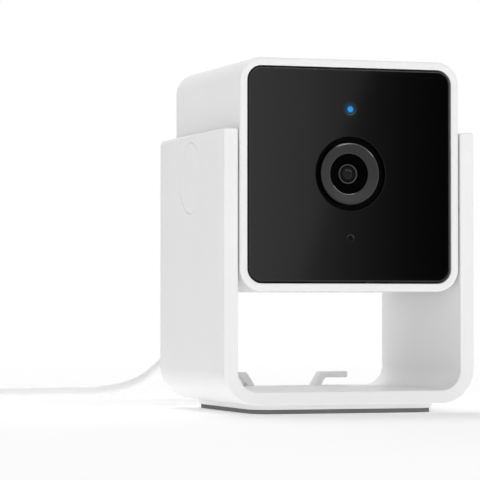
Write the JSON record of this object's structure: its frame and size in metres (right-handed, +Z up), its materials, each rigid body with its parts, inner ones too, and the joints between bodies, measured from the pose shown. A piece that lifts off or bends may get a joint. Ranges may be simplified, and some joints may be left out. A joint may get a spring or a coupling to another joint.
{
  "type": "pet camera",
  "caption": "Small cube-shaped pet camera with a black glass front, tilting between the arms of a U-shaped stand, with its coiled power lead.",
  "frame": {"origin": "on the surface it stands on, under the middle of the stand", "axes": "-Y is the way the camera looks, +X is to the right of someone who faces its glass, +Z is up; the tilt axis runs along X"},
  "size_m": [0.1496, 0.1147, 0.0796],
  "materials": {
    "amber_film": "amber film",
    "black_board": "black solder mask",
    "black_glass": "polished, printed black behind",
    "black_plastic": "matte black",
    "black_rubber": "matte black",
    "blue_light": "translucent blue, lit",
    "brushed_metal": "fine brushed",
    "chip_black": "matte black package",
    "circuit_board": "green solder mask",
    "cord_jacket": "soft white jacket",
    "dark_metal": "dark plated",
    "grey_rubber": "matte grey",
    "housing_plastic": "smooth satin",
    "lens_glass": "polished dark",
    "paper_cone": "dark paper",
    "tin_shield": "tin plated",
    "trim_plastic": "matte dark grey",
    "white_plastic": "fine satin texture"
  },
  "bodies": {
    "stand": {"stand_frame": "white_plastic", "foot_pad": "black_rubber", "base_plate": "brushed_metal", "base_screw_front": "dark_metal", "base_screw_rear": "dark_metal", "base_magnet_left": "tin_shield", "base_magnet_right": "tin_shield", "pivot_cap_left": "white_plastic", "pivot_cap_right": "white_plastic", "pivot_screw_left": "dark_metal", "pivot_screw_right": "dark_metal", "friction_washer_left": "black_rubber", "friction_washer_right": "black_rubber", "usb_a_plug_body": "cord_jacket", "usb_a_plug_shell": "tin_shield", "cord_lead": "cord_jacket", "cord_coil": "cord_jacket", "cord_tail": "cord_jacket", "cord_tie": "grey_rubber"},
    "camera": {"lock_nut_left": "tin_shield", "lock_nut_right": "tin_shield", "housing": "housing_plastic", "front_glass": "black_glass", "glass_gasket": "black_rubber", "lens_trim": "trim_plastic", "lens_seal": "black_rubber", "lens_barrel": "black_plastic", "lens_ring": "dark_metal", "front_lens": "lens_glass", "front_board": "black_board", "infrared_led_left": "lens_glass", "infrared_led_right": "lens_glass", "status_led": "blue_light", "light_pipe": "blue_light", "microphone": "tin_shield", "mic_boot": "black_rubber", "lens_holder": "black_plastic", "image_sensor": "lens_glass", "sensor_board": "circuit_board", "inner_frame": "black_plastic", "main_board": "circuit_board", "processor": "chip_black", "heat_sink": "tin_shield", "wireless_module": "tin_shield", "antenna": "amber_film", "rear_cover": "housing_plastic", "rear_screw_1": "dark_metal", "rear_screw_2": "dark_metal", "rear_screw_3": "dark_metal", "rear_screw_4": "dark_metal", "usb_socket": "tin_shield", "port_board": "circuit_board", "tact_switch": "chip_black", "speaker_basket": "black_plastic", "speaker_cone": "paper_cone", "speaker_magnet": "tin_shield", "micro_plug_shell": "tin_shield", "micro_plug_body": "cord_jacket"},
    "reset_button": {"reset_button": "black_plastic"},
    "ir_filter": {"ir_cut_filter": "amber_film"}
  },
  "joints": [
    {"name": "camera_tilt", "type": "hinge", "parent": "stand", "child": "camera", "pos_m": [0, 0, 0.0535], "axis": [1, 0, 0], "range_deg": [-30, 30], "deforming": ["cord_lead"]},
    {"name": "reset_button_press", "type": "slide", "parent": "camera", "child": "reset_button", "axis": [0, -1, 0], "range_m": [0, 0.0004], "stiffness_N_per_m": 2500},
    {"name": "ir_filter_slide", "type": "slide", "parent": "camera", "child": "ir_filter", "axis": [1, 0, 0], "range_m": [0, 0.0035]}
  ]
}
